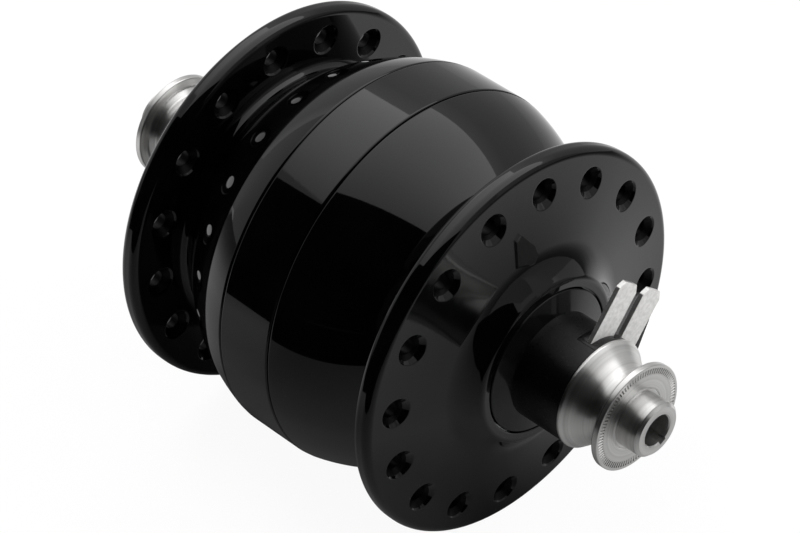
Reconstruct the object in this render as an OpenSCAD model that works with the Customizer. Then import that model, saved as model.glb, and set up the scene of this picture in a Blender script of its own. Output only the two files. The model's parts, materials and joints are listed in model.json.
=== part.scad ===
// Bicycle hub dynamo: a claw-pole generator inside a spoked front hub.
// The axle lies along Y with the terminals at -Y, +Z is up, and the origin is the hub's centre.

/* [Axle] */
// Width over the outer faces of the lock nuts
over_locknut_width = 100; // [96:1:110]
// Length of each axle end outside its lock nut
axle_end_length = 4; // [3:0.5:6]
// Diameter of the axle ends that sit in the fork
axle_end_d = 9; // [8.6:0.1:9.6]
// Diameter of the axle's threads under the lock nuts
axle_thread_d = 10; // [9.8:0.1:10.6]
// Diameter of the axle's middle, which carries the stator
axle_core_d = 16; // [15:0.5:17]
// Diameter of the through bore for the skewer
skewer_bore_d = 5.2; // [5:0.1:5.8]
// Bevel at each end of the axle
axle_end_bevel = 0.5; // [0.2:0.1:0.8]

/* [Flanges] */
// Distance between the middles of the two flanges
flange_spacing = 51; // [49:0.5:54]
// Outer diameter of a flange
flange_d = 64.6; // [63:0.2:67]
// Thickness of a flange at its spoke holes
flange_thickness = 3.8; // [3.4:0.1:4.4]
// Radius of the rounded rim edges
rim_round = 1.3; // [0.6:0.1:1.6]
// Distance from the middles of the spoke holes to the flange's rim
spoke_edge = 5.3; // [4.8:0.1:5.6]
// Spoke holes in each flange
spokes_per_flange = 16; // [14:1:18]
// Diameter of a spoke hole
spoke_hole_d = 2.6; // [2.3:0.1:2.9]
// Diameter of the countersink at each end of a spoke hole
spoke_countersink_d = 5; // [4:0.1:5.4]
// Angle of the right flange's first spoke hole
spoke_phase = 15.4; // [0:0.1:22.5]

/* [Drum] */
// Diameter of the centre band
drum_d = 63.2; // [62.6:0.2:64.4]
// Width of the centre band
band_width = 10; // [8:0.5:11]
// Gap at each seam beside the centre band
seam_gap = 0.12; // [0.08:0.01:0.2]
// Bevel along the seams
seam_bevel = 0.25; // [0.15:0.05:0.4]
// Profile radius of the domes beside the band
dome_radius = 32.5; // [31:0.5:35]
// Slope of a dome where it meets the band
dome_slope = 12.5; // [11:0.5:15]
// Wall of the domes
dome_wall = 3; // [2.6:0.1:3.4]
// Fillet radius where a dome meets its flange
flange_root_fillet = 1.5; // [1:0.25:2]

/* [End faces] */
// Slope of the flange's outer face, which rises towards the middle
face_slope = 4; // [2:0.5:6]
// Diameter where the sloped face turns into the dish
dish_d = 42.6; // [42:0.2:44]
// Profile radius of the dish
dish_radius = 10; // [9.6:0.1:10.6]
// Height of the boss over the flange's outer face at the spoke holes
boss_height = 4.7; // [4.4:0.1:4.9]
// Profile radius of the boss's rounded edge
boss_round = 1.2; // [0.8:0.1:1.4]
// Thickness of the lip that holds the bearing
boss_lip = 2.5; // [2.2:0.1:3]
// Diameter of the hole in the boss that the dust cap sits in
boss_bore_d = 24.4; // [24:0.1:25]
// Running gap round the dust cap
dust_cap_gap = 0.25; // [0.2:0.01:0.3]
// Height of the dust cap's cone over the boss
dust_cap_rise = 1; // [0.5:0.1:1.5]

/* [Bearings] */
// Bore of a bearing
bearing_bore_d = 12; // [11.6:0.1:12.4]
// Outer diameter of a bearing
bearing_d = 28; // [27:0.25:28.5]
// Width of a bearing
bearing_width = 8; // [7.6:0.1:8.4]
// Diameter of a ball
ball_d = 4.76; // [4.5:0.02:4.9]
// Balls in each bearing
ball_count = 8; // [7:1:8]
// Space between the two rings of a bearing
ring_gap = 3.2; // [3:0.1:3.4]
// Clearance between a ball and its grooves
ball_clearance = 0.05; // [0.04:0.01:0.08]
// Thickness of a bearing seal
seal_thickness = 0.6; // [0.4:0.05:0.7]

/* [Generator] */
// Wall of the centre band
band_wall = 2.1; // [1.9:0.05:2.4]
// Width of the room for magnets and stator
cavity_width = 21; // [20.6:0.1:21.6]
// Wall of the shells' spigots under the centre band
spigot_wall = 2; // [1.8:0.05:2.2]
// Section diameter of the shell O-rings
o_ring_d = 1; // [0.8:0.05:1.2]
// Thickness of the back iron ring
back_iron_thickness = 1.9; // [1.5:0.1:2.2]
// Space between the back iron ring and the ends of that room
back_iron_room = 1; // [0.5:0.1:1.5]
// Thickness of the magnets
magnet_thickness = 2.6; // [2:0.1:3]
// Pairs of magnet poles
pole_pairs = 13; // [11:1:14]
// Gap between neighbouring magnets
magnet_gap = 0.4; // [0.2:0.1:0.8]
// Air gap between magnets and claws
air_gap = 0.5; // [0.4:0.05:0.8]
// Space between the claw discs and the ends of that room
stator_room = 1.5; // [1.2:0.05:1.8]
// Thickness of the claw discs
claw_disc_thickness = 2; // [1.6:0.1:2.4]
// Thickness of the claws
claw_thickness = 1.8; // [1.5:0.1:2.1]
// Width of a claw at its root
claw_root_width = 4.4; // [4:0.1:4.6]
// Width of a claw at its tip
claw_tip_width = 2.6; // [2.2:0.1:3]
// Wall of the stator core sleeve
core_wall = 3; // [2.5:0.1:3.2]
// Wall of the coil bobbin
bobbin_wall = 1; // [0.8:0.1:1.3]
// Diameter of the collar that the stator is clamped against
collar_d = 20; // [19:0.5:22]
// Width of that collar
collar_width = 2; // [1.5:0.1:3]
// Diameter of the stator nut
stator_nut_d = 22; // [21:0.5:23]
// Width of the stator nut
stator_nut_width = 3; // [2.5:0.1:3.5]

/* [Terminals] */
// Diameter of the sleeves beside the lock nuts
sleeve_d = 17.5; // [17:0.1:18.2]
// Direction of the terminals, up from the front
terminal_angle = 50.6; // [0:0.1:90]
// Width of a spade terminal
blade_width = 4.8; // [4.6:0.1:5]
// Thickness of a spade terminal
blade_thickness = 0.8; // [0.5:0.05:0.9]
// Distance between the middles of the two blades
blade_pitch = 6.86; // [6.4:0.02:7.2]
// Height of the blade tips over the axle's middle
blade_reach = 16.9; // [15:0.1:18]
// Distance from the blades' outer faces to the sleeve's end
blade_setback = 1.4; // [1:0.1:2]
// Depth of the terminal block along the axle
block_depth = 3.6; // [3.2:0.1:4.4]
// Diameter of a coil lead
lead_d = 1; // [0.8:0.05:1.2]

/* [Lock nuts] */
// Length of a lock nut
nut_length = 7.8; // [7:0.1:9]
// Diameter of a lock nut's inner end
nut_inner_d = 17.8; // [17.4:0.1:18.4]
// Diameter of a lock nut's waist
nut_waist_d = 12.6; // [12:0.1:13.6]
// Diameter of a lock nut's outer disc
nut_disc_d = 17.5; // [17:0.1:18.4]
// Thickness of a lock nut's outer disc
nut_disc_thickness = 1.1; // [0.9:0.05:1.4]
// Smooth rim outside the serrated ring
serration_rim = 0.5; // [0.4:0.05:0.8]
// Length of a serration
serration_length = 0.95; // [0.8:0.05:1.2]
// Serrations in the ring
serration_count = 90; // [72:1:96]
// Depth of a serration
serration_depth = 0.3; // [0.2:0.05:0.4]

/* [Hidden] */
$fn = 96;
// A cut that has to break through a face runs this far past it.
past = 0.5;
// Small fits and bevels
fit_clearance = 0.05;
small_bevel = 0.2;

// Places along the axle, from the hub's middle outwards
flange_inner = flange_spacing/2 - flange_thickness/2;
flange_outer = flange_inner + flange_thickness;
boss_face = flange_outer + boss_height;
bearing_outer = boss_face - boss_lip;
bearing_inner = bearing_outer - bearing_width;
bearing_middle = (bearing_outer + bearing_inner)/2;
cap_top = boss_face + dust_cap_rise;
nut_outer = over_locknut_width/2;
nut_inner = nut_outer - nut_length;
axle_end = nut_outer + axle_end_length;
thread_start = nut_inner - 1.2;
thread_end = nut_outer + fit_clearance;

// Spoke holes
spoke_circle_d = flange_d - 2*spoke_edge;

// Drum profile: each dome is an arc from the band's edge, and the root fillet's circle touches dome and flange
drum_r = drum_d/2;
dome_centre_r = drum_r - dome_radius*cos(dome_slope);
dome_place = band_width/2 - dome_radius*sin(dome_slope);
root_place = flange_inner - flange_root_fillet;
root_turn = asin((root_place - dome_place)/(dome_radius + flange_root_fillet));
root_centre_r = dome_centre_r + (dome_radius + flange_root_fillet)*cos(root_turn);

// Outer face: the dish's circle touches the sloped face at dish_d and the circle of the boss's rounded edge
dish_centre_r = dish_d/2 + dish_radius*sin(face_slope);
dish_place = face_place(dish_d/2) + dish_radius*cos(face_slope);
boss_place = boss_face - boss_round;
boss_flat_r = dish_centre_r - sqrt(pow(dish_radius + boss_round, 2) - pow(dish_place - boss_place, 2));

// Bearing
pitch_r = (bearing_bore_d + bearing_d)/4;
ball_r = ball_d/2;
groove_r = ball_r + ball_clearance;
inner_ring_r = pitch_r - ring_gap/2;
outer_ring_r = pitch_r + ring_gap/2;
seal_inset = 0.1;
seal_gap = 0.15;
cage_pocket_r = ball_r + 0.12;
cage_wall = ring_gap/2;
ball_phase = 180/ball_count;
cage_half_width = bearing_width/2 - seal_inset - seal_thickness - 0.3;

// Generator radii and widths
spigot_r = drum_r - band_wall;
cavity_r = spigot_r - spigot_wall;
back_iron_width = cavity_width - 2*back_iron_room;
stator_width = cavity_width - 2*stator_room;
spigot_split = 0.1;
o_ring_place = band_width/4;
seat_step = 3.5;
neck_bore_r = bearing_d/2 + seat_step;
seat_lead_in = 0.6;
magnet_outer_r = cavity_r - back_iron_thickness;
magnet_inner_r = magnet_outer_r - magnet_thickness;
claw_r = magnet_inner_r - air_gap;
claw_inner_r = claw_r - claw_thickness;
disc_inner = stator_width/2 - claw_disc_thickness;
claw_tip_gap = 0.8;
core_r = axle_core_d/2 + core_wall;
bobbin_tube_r = core_r + bobbin_wall;
bobbin_flange_r = claw_inner_r - 0.4;
winding_r = bobbin_flange_r - 0.6;
pole_step = 360/(2*pole_pairs);

// Coil leads: side by side in a groove of the axle, towards the terminals
lead_r = lead_d/2;
lead_elbow_r = lead_r + 0.03;
lead_side = lead_r + 0.15;
lead_room = 0.15;
lead_exit = bobbin_tube_r + lead_r + 0.7;
lead_track = axle_thread_d/2;
lead_drop = stator_width/2 + stator_nut_width + 1.2;
lead_slope = 2.8;
lead_bend = lead_drop + lead_slope;
groove_floor = lead_track - lead_r - 0.2;
groove_half = lead_side + lead_r + lead_room;

// Terminal block and blades
blade_front = nut_inner - blade_setback;
blade_back = blade_front - blade_thickness;
block_half = blade_pitch/2 + blade_width/2 + 0.4;
block_floor = bearing_bore_d/2;
block_low = block_floor/2;
blade_root = block_floor + 0.4;
blade_tip_side = 0.9;
blade_tip_length = 1.2;
rib_setback = 4.5;
rib_top = blade_reach - rib_setback;
rib_out = 1.5;

// Serrated ring of a lock nut
serration_outer_d = nut_disc_d - 2*serration_rim;
serration_inner_d = serration_outer_d - 2*serration_length;

// Place of the flange's sloped outer face at radius r
function face_place(r) = flange_outer + (spoke_circle_d/2 - r)*tan(face_slope);

// Turns a profile of radius and place along the axle about the axle.
module turned() {
    rotate([-90, 0, 0]) rotate_extrude() children();
}

// Puts a left-hand piece on the right side.
module on_right() {
    mirror([0, 1, 0]) children();
}

// Repeats a piece that lies at radius X round the axle.
module round_axle(count, phase = 0) {
    for (i = [0 : count - 1]) rotate([0, -phase - i*360/count, 0]) children();
}

// Turns local +X towards the terminals.
module towards_terminals() {
    rotate([0, -terminal_angle, 0]) children();
}

// Rectangle of a profile, from radius r0 to r1 and place a0 to a1
module span(r0, r1, a0, a1) {
    translate([r0, a0]) square([r1 - r0, a1 - a0]);
}

// Part of a dome's circle, from place a0 to a1; inset makes it smaller for the inside.
module dome(inset, a0, a1) {
    intersection() {
        translate([dome_centre_r, dome_place]) circle(r = dome_radius - inset, $fn = 192);
        span(0, 2*drum_r, a0, a1);
    }
}

// Web between a dome and its flange, hollowed by the root fillet
module flange_root() {
    touch_r = dome_centre_r + dome_radius*cos(root_turn);
    touch_place = dome_place + dome_radius*sin(root_turn);
    difference() {
        polygon([[0, touch_place], [touch_r, touch_place], [root_centre_r, root_place],
                 [root_centre_r, flange_inner + past], [0, flange_inner + past]]);
        translate([root_centre_r, root_place]) circle(r = flange_root_fillet);
    }
}

// Flange of one end shell, with rounded rim edges
module flange_outline() {
    rim_r = flange_d/2;
    edge_r = rim_r - rim_round;
    inner_edge = flange_inner + rim_round;
    outer_edge = face_place(edge_r) - rim_round/cos(face_slope);
    turn_r = edge_r + rim_round*sin(face_slope);
    polygon([[0, flange_inner], [edge_r, flange_inner], [edge_r, inner_edge], [rim_r, inner_edge],
             [rim_r, outer_edge], [edge_r, outer_edge], [turn_r, face_place(turn_r)],
             [dish_d/2, face_place(dish_d/2)], [0, face_place(dish_d/2)]]);
    for (place = [inner_edge, outer_edge]) translate([edge_r, place]) circle(r = rim_round);
}

// Boss of one end shell, with the dish round it
module boss_outline() {
    difference() {
        polygon([[0, flange_inner], [dish_d/2, flange_inner], [dish_d/2, face_place(dish_d/2)],
                 [dish_centre_r, dish_place], [boss_flat_r, boss_place], [0, boss_place]]);
        translate([dish_centre_r, dish_place]) circle(r = dish_radius);
    }
    translate([boss_flat_r, boss_place]) circle(r = boss_round);
    span(0, boss_flat_r, boss_place - past, boss_face);
}

// One spoke hole with its two countersinks, at radius X of the left flange
module spoke_hole() {
    sink_depth = (spoke_countersink_d - spoke_hole_d)/2;
    translate([spoke_circle_d/2, flange_inner, 0]) rotate([-90, 0, 0]) {
        translate([0, 0, -past]) cylinder(d = spoke_hole_d, h = flange_thickness + 2*past);
        cylinder(d1 = spoke_countersink_d, d2 = spoke_hole_d, h = sink_depth);
        translate([0, 0, flange_thickness - sink_depth])
            cylinder(d1 = spoke_hole_d, d2 = spoke_countersink_d + 2*past, h = sink_depth + past);
    }
}

// End shell of the left side: spigot under the band, dome, flange and bearing seat
module end_shell(phase) {
    seam = band_width/2 + seam_gap;
    seam_r = dome_centre_r + sqrt(pow(dome_radius, 2) - pow(seam - dome_place, 2));
    difference() {
        turned() difference() {
            union() {
                dome(0, -past, flange_inner + past);
                flange_root();
                flange_outline();
                boss_outline();
            }
            span(spigot_r, 2*drum_r, -2*past, seam);
            span(0, spigot_r + past, -2*past, spigot_split);
            polygon([[seam_r - seam_bevel, seam], [seam_r + past, seam],
                     [seam_r + past, seam + seam_bevel + past]]);
            span(0, cavity_r, -2*past, cavity_width/2);
            dome(dome_wall, cavity_width/2 - past, bearing_inner - dome_wall);
            span(0, neck_bore_r, 0, bearing_inner - seat_lead_in);
            span(0, bearing_d/2, 0, bearing_outer);
            span(0, boss_bore_d/2, 0, boss_face + past);
            span(spigot_r - o_ring_d, spigot_r + past, o_ring_place - 0.65*o_ring_d, o_ring_place + 0.65*o_ring_d);
        }
        round_axle(spokes_per_flange, phase) spoke_hole();
    }
}

module left_hub_shell() {
    color("#141416") end_shell(spoke_phase - 180/spokes_per_flange);
}

module right_hub_shell() {
    color("#141416") on_right() end_shell(spoke_phase);
}

module centre_band() {
    half = band_width/2;
    color("#161618") turned() difference() {
        span(spigot_r, drum_r, -half, half);
        for (side = [-1, 1])
            polygon([[drum_r - seam_bevel, side*half], [drum_r + past, side*half],
                     [drum_r + past, side*(half - seam_bevel - past)]]);
    }
}

module shell_o_rings() {
    color("#202020") turned() for (side = [-1, 1])
        translate([spigot_r - o_ring_d/2, side*o_ring_place]) circle(d = o_ring_d);
}

module back_iron_ring() {
    color("#6d6f72") turned() span(magnet_outer_r, cavity_r, -back_iron_width/2, back_iron_width/2);
}

module ring_magnets() {
    half = stator_width/2;
    color("#4d4f54") difference() {
        turned() span(magnet_inner_r, magnet_outer_r, -half, half);
        round_axle(2*pole_pairs)
            translate([magnet_inner_r - past, -half - past, -magnet_gap/2])
                cube([magnet_thickness + 2*past, 2*(half + past), magnet_gap]);
    }
}

// Bearing pieces, on the left side
module bearing_outer_ring() {
    color("#b9bcc0") turned() difference() {
        span(outer_ring_r, bearing_d/2, bearing_inner, bearing_outer);
        translate([pitch_r, bearing_middle]) circle(r = groove_r);
    }
}

module bearing_inner_ring() {
    color("#b9bcc0") turned() difference() {
        span(bearing_bore_d/2, inner_ring_r, bearing_inner, bearing_outer);
        translate([pitch_r, bearing_middle]) circle(r = groove_r);
    }
}

module bearing_seals() {
    color("#26262a") turned() for (place = [bearing_inner + seal_inset, bearing_outer - seal_inset - seal_thickness])
        span(inner_ring_r + seal_gap, outer_ring_r, place, place + seal_thickness);
}

module bearing_cage() {
    color("#c9a24a") difference() {
        turned() span(pitch_r - cage_wall/2, pitch_r + cage_wall/2,
                      bearing_middle - cage_half_width, bearing_middle + cage_half_width);
        round_axle(ball_count, ball_phase) translate([pitch_r, bearing_middle, 0]) sphere(r = cage_pocket_r);
    }
}

module bearing_balls() {
    color("#d5d7da") round_axle(ball_count, ball_phase) translate([pitch_r, bearing_middle, 0]) sphere(r = ball_r);
}

module left_bearing_outer_ring() { bearing_outer_ring(); }
module right_bearing_outer_ring() { on_right() bearing_outer_ring(); }
module left_bearing_inner_ring() { bearing_inner_ring(); }
module right_bearing_inner_ring() { on_right() bearing_inner_ring(); }
module left_bearing_seals() { bearing_seals(); }
module right_bearing_seals() { on_right() bearing_seals(); }
module left_bearing_cage() { bearing_cage(); }
module right_bearing_cage() { on_right() bearing_cage(); }
module left_bearing_balls() { bearing_balls(); }
module right_bearing_balls() { on_right() bearing_balls(); }

// Hollow axle with shoulders for the bearings, a collar for the stator and a groove for the leads
module axle() {
    end_r = axle_end_d/2;
    thread_r = axle_thread_d/2;
    seat_r = bearing_bore_d/2;
    bore_r = skewer_bore_d/2;
    notch = 1.2;
    notch_turn = -65;
    color("#c4c6c9") difference() {
        turned() difference() {
            union() {
                span(0, axle_core_d/2, -bearing_inner, bearing_inner);
                span(0, collar_d/2, stator_width/2, stator_width/2 + collar_width);
                span(0, seat_r, -thread_start, thread_start);
                polygon([[0, -thread_end], [thread_r - small_bevel, -thread_end],
                         [thread_r, small_bevel - thread_end], [thread_r, thread_end - small_bevel],
                         [thread_r - small_bevel, thread_end], [0, thread_end]]);
                polygon([[0, -axle_end], [end_r - axle_end_bevel, -axle_end], [end_r, axle_end_bevel - axle_end],
                         [end_r, axle_end - axle_end_bevel], [end_r - axle_end_bevel, axle_end], [0, axle_end]]);
            }
            span(0, bore_r, -axle_end - past, axle_end + past);
            for (side = [-1, 1])
                polygon([[0, side*(axle_end + past)], [bore_r + small_bevel + past, side*(axle_end + past)],
                         [bore_r, side*(axle_end - small_bevel)], [0, side*(axle_end - small_bevel)]]);
        }
        towards_terminals()
            translate([groove_floor, -blade_front, -groove_half])
                cube([axle_core_d, blade_front - lead_drop + past, 2*groove_half]);
        rotate([0, -notch_turn, 0])
            translate([0, -axle_end - past, -notch/2]) cube([bore_r + notch/2, 5*notch, notch]);
    }
}

// Claw pole of the left side: a disc with tapered claws that reach over the coil
module claw_pole(phase, lead_hole) {
    reach = disc_inner + stator_width/2 - claw_disc_thickness - claw_tip_gap;
    color("#8f9296") difference() {
        union() {
            turned() span(axle_core_d/2, claw_r, disc_inner, stator_width/2);
            intersection() {
                turned() span(claw_inner_r, claw_r, -stator_width/2, stator_width/2);
                round_axle(pole_pairs, phase)
                    translate([claw_inner_r/2, disc_inner + past, 0]) rotate([0, 90, 0])
                        linear_extrude(claw_r)
                            polygon([[-claw_root_width/2, 0], [-claw_tip_width/2, -reach - past],
                                     [claw_tip_width/2, -reach - past], [claw_root_width/2, 0]]);
            }
        }
        if (lead_hole) lead_window(stator_width/2);
    }
}

// Opening for the two leads, through the coil's end wall and the disc beside it, on the left side
module lead_window(end) {
    towards_terminals()
        translate([lead_exit - lead_r - lead_room, disc_inner - bobbin_wall - past, -groove_half])
            cube([lead_d + 2*lead_room, end - disc_inner + bobbin_wall + 2*past, 2*groove_half]);
}

module left_claw_pole() { claw_pole(0, false); }
module right_claw_pole() { on_right() claw_pole(pole_step, true); }

module stator_core() {
    color("#7f8286") turned() span(axle_core_d/2, core_r, -disc_inner, disc_inner);
}

module coil_bobbin() {
    color("#e8e4d8") difference() {
        turned() {
            span(core_r, bobbin_tube_r, -disc_inner, disc_inner);
            for (place = [-disc_inner, disc_inner - bobbin_wall])
                span(core_r, bobbin_flange_r, place, place + bobbin_wall);
        }
        on_right() lead_window(disc_inner);
    }
}

module coil_winding() {
    half = disc_inner - bobbin_wall;
    color("#b4692f") turned() span(bobbin_tube_r, winding_r, -half, half);
}

// A straight stretch of lead between two points of radius and place
module lead_run(from, to) {
    run = to - from;
    translate([from[0], -from[1], 0])
        rotate([0, 0, atan2(-run[1], run[0])]) rotate([0, 90, 0]) cylinder(r = lead_r, h = norm(run), $fn = 12);
}

module coil_leads() {
    start = disc_inner - bobbin_wall;
    route = [[lead_exit, start], [lead_exit, lead_drop], [lead_track, lead_bend],
             [lead_track, blade_back], [block_floor - lead_r*lead_r/2, blade_back]];
    color("#a33a2a") towards_terminals() for (side = [-1, 1]) translate([0, 0, side*lead_side]) {
        for (i = [0 : len(route) - 2]) lead_run(route[i], route[i + 1]);
        for (i = [1 : len(route) - 2]) translate([route[i][0], -route[i][1], 0]) sphere(r = lead_elbow_r, $fn = 12);
    }
}

module stator_nut() {
    slots = 4;
    slot_width = 3;
    slot_depth = 1.2;
    inner = stator_width/2;
    outer = inner + stator_nut_width;
    color("#c9a24a") on_right() difference() {
        turned() polygon([[axle_core_d/2, inner], [stator_nut_d/2, inner], [stator_nut_d/2, outer - small_bevel],
                          [stator_nut_d/2 - small_bevel, outer], [axle_core_d/2, outer]]);
        round_axle(slots)
            translate([stator_nut_d/2 - slot_depth, inner - past, -slot_width/2])
                cube([slot_depth + past, stator_nut_width + 2*past, slot_width]);
    }
}

// Dust cap of the left side: clamped on the bearing's inner ring, with a running gap to the boss
module dust_cap() {
    rim = boss_bore_d/2 - dust_cap_gap;
    stand_off = 0.3;
    color("#101012") turned()
        polygon([[bearing_bore_d/2, bearing_outer], [inner_ring_r, bearing_outer],
                 [inner_ring_r, bearing_outer + stand_off], [rim, bearing_outer + stand_off],
                 [rim, boss_face - small_bevel], [rim - small_bevel, boss_face],
                 [sleeve_d/2, cap_top], [bearing_bore_d/2, cap_top]]);
}

module left_dust_cap() { dust_cap(); }
module right_dust_cap() { on_right() dust_cap(); }

// Sleeve of the left side, between dust cap and lock nut
module sleeve() {
    turned() polygon([[bearing_bore_d/2, cap_top], [sleeve_d/2, cap_top], [sleeve_d/2, nut_inner - small_bevel],
                      [sleeve_d/2 - small_bevel, nut_inner], [bearing_bore_d/2, nut_inner]]);
}

module left_spacer_sleeve() { color("#17171a") sleeve(); }

// Room in the terminal sleeve for the block; grow widens it for the fit.
module block_room(grow) {
    towards_terminals()
        translate([block_low - grow, -nut_inner - past, -block_half - grow])
            cube([sleeve_d, block_depth + grow + past, 2*(block_half + grow)]);
}

module terminal_sleeve() {
    color("#17171a") difference() {
        on_right() sleeve();
        block_room(fit_clearance);
    }
}

// Blade of a spade terminal, pointing along local +X, with a beveled tip
module blade(grow) {
    half = blade_width/2 + grow;
    translate([0, grow - blade_back, 0]) rotate([90, 0, 0]) linear_extrude(blade_thickness + 2*grow)
        polygon([[blade_root - grow, -half], [blade_reach - blade_tip_length, -half],
                 [blade_reach, blade_tip_side - half], [blade_reach, half - blade_tip_side],
                 [blade_reach - blade_tip_length, half], [blade_root - grow, half]]);
}

module at_blade(side) {
    towards_terminals() translate([0, 0, side*blade_pitch/2]) children();
}

// Black insert that holds the two blades, with one rib beside the lower blade
module terminal_block() {
    side = blade_pitch/2 + blade_width/2 + fit_clearance;
    lip = sleeve_d/2 + fit_clearance;
    low = sqrt(pow(lip, 2) - pow(block_half, 2));
    color("#1b1b1e") difference() {
        union() {
            intersection() {
                on_right() turned() span(block_floor, sleeve_d/2, nut_inner - block_depth, nut_inner);
                block_room(0);
            }
            towards_terminals() translate([0, -blade_back, 0]) rotate([90, 0, 0])
                linear_extrude(blade_thickness)
                    polygon([[rib_top, -side], [sleeve_d/3, -side - rib_out],
                             [sqrt(pow(lip, 2) - pow(side + rib_out - small_bevel, 2)), small_bevel - side - rib_out],
                             [low, -block_half], [low - past, -block_half + past], [low - past, -side]]);
        }
        for (place = [-1, 1]) at_blade(place) blade(fit_clearance);
    }
}

module upper_spade_terminal() { color("#c8c9c6") at_blade(1) blade(0); }
module lower_spade_terminal() { color("#c8c9c6") at_blade(-1) blade(0); }

// Spool-shaped lock nut of the left side, with a serrated ring on its outer face
module lock_nut() {
    thread_r = axle_thread_d/2;
    inner_r = nut_inner_d/2;
    waist_r = nut_waist_d/2;
    disc_r = nut_disc_d/2;
    land = 0.5;
    waist_start = nut_inner + 0.52*nut_length;
    disc_back = nut_outer - nut_disc_thickness;
    waist_end = disc_back - 1;
    tooth_width = 0.62*PI*serration_inner_d/serration_count;
    color("#c9cbce") difference() {
        turned() polygon([[thread_r, nut_inner], [inner_r - small_bevel, nut_inner],
                          [inner_r, nut_inner + small_bevel], [inner_r, nut_inner + land],
                          [(inner_r + waist_r)/2 - small_bevel, (nut_inner + land + waist_start)/2],
                          [waist_r, waist_start], [waist_r, waist_end], [waist_r + 0.8, disc_back],
                          [disc_r - small_bevel, disc_back], [disc_r, disc_back + small_bevel],
                          [disc_r, nut_outer - small_bevel], [disc_r - small_bevel, nut_outer],
                          [thread_r + small_bevel, nut_outer], [thread_r, nut_outer - small_bevel]]);
        round_axle(serration_count)
            translate([serration_inner_d/2, nut_outer, 0]) rotate([0, 90, 0])
                linear_extrude((serration_outer_d - serration_inner_d)/2)
                    polygon([[-tooth_width/2, past/10], [0, -serration_depth], [tooth_width/2, past/10]]);
    }
}

module left_lock_nut() { lock_nut(); }
module right_lock_nut() { on_right() lock_nut(); }

left_hub_shell();
centre_band();
right_hub_shell();
shell_o_rings();
back_iron_ring();
ring_magnets();
left_bearing_outer_ring();
right_bearing_outer_ring();
left_bearing_seals();
right_bearing_seals();
left_bearing_cage();
left_bearing_balls();
right_bearing_cage();
right_bearing_balls();
axle();
left_bearing_inner_ring();
right_bearing_inner_ring();
left_claw_pole();
right_claw_pole();
stator_core();
coil_bobbin();
coil_winding();
coil_leads();
stator_nut();
left_dust_cap();
right_dust_cap();
left_spacer_sleeve();
terminal_sleeve();
terminal_block();
upper_spade_terminal();
lower_spade_terminal();
left_lock_nut();
right_lock_nut();
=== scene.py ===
"""Looks of the bicycle hub dynamo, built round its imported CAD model.

Fine meshes with rounded edges stand for the turned pieces, the other CAD pieces keep their solids, and
every piece gets a procedural finish. The axle lies along Y with the terminals at -Y. Profiles are in
millimetres, as points of radius and place, where place is the distance from the hub's middle along the axle.
"""

import json
import math
import bpy
from mathutils import Matrix, Vector


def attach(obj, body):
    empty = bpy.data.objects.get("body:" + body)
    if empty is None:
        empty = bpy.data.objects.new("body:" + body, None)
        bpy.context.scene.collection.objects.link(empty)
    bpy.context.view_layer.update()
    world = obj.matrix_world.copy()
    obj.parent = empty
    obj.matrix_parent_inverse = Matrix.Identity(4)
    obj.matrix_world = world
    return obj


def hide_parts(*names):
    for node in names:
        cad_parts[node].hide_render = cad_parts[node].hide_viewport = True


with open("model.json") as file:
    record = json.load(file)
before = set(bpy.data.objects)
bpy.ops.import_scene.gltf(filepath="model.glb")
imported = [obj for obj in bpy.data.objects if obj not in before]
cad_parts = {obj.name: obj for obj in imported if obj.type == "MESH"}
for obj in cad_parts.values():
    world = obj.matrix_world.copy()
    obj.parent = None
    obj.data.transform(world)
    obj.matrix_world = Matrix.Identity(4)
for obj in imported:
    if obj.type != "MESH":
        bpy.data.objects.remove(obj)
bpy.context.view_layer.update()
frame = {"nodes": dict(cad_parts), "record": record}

MM = 0.001

# Sizes that part.scad has too
BAND_R = 31.6
BAND_HALF = 5.0
BAND_INNER_R = 29.5
SEAM = 5.12
DOME_R = 32.5
DOME_SLOPE = math.radians(12.5)
DOME_WALL = 3.0
ROOT_FILLET = 1.5
FLANGE_INNER = 23.6
FLANGE_OUTER = 27.4
FLANGE_R = 32.3
RIM_ROUND = 1.3
SPOKE_CIRCLE_R = 27.0
SPOKE_HOLES = 16
SPOKE_HOLE_R = 1.3
COUNTERSINK_R = 2.5
SPOKE_PHASE = {"left": 4.15, "right": 15.4}
BOSS_FACE = 32.1
BOSS_ROUND = 1.2
BOSS_BORE_R = 12.2
BEARING_R = 14.0
BEARING_OUTER = 29.6
BEARING_INNER = 21.6
INNER_RING_R = 8.4
SEAT_END = 21.0
NECK_BORE_R = 17.5
CAVITY_R = 27.5
CAVITY_HALF = 10.5
SPIGOT_SPLIT = 0.1
O_RING_GROOVE_R = 28.5
O_RING_GROOVE_START = 1.85
O_RING_GROOVE_END = 3.15
SLEEVE_R = 8.75
SLEEVE_BORE_R = 6.0
CAP_TOP = 33.1
CAP_BACK = 29.9
CAP_GAP = 0.25
NUT_INNER = 42.2
NUT_OUTER = 50.0
NUT_R = 8.9
NUT_WAIST_R = 6.3
NUT_DISC_R = 8.75
NUT_DISC_BACK = 48.9
SERRATIONS = 90
SERRATION_INNER_R = 7.3
SERRATION_OUTER_R = 8.25
SERRATION_DEPTH = 0.3
THREAD_R = 5.0
THREAD_START = 41.0
THREAD_END = 50.05
AXLE_END = 54.0
AXLE_END_R = 4.5
AXLE_END_BEVEL = 0.5
AXLE_BORE_R = 2.6
AXLE_CORE_R = 8.0
COLLAR_R = 10.0
COLLAR_START = 9.0
COLLAR_END = 11.0
SMALL_BEVEL = 0.2
TERMINAL_ANGLE = 50.6

# Rounding of edges that the CAD solids leave sharp or bevelled
SEAM_ROUND = 0.3
COUNTERSINK_ROUND = 0.25
EDGE_ROUND = 0.25
SMALL_ROUND = 0.2

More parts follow.
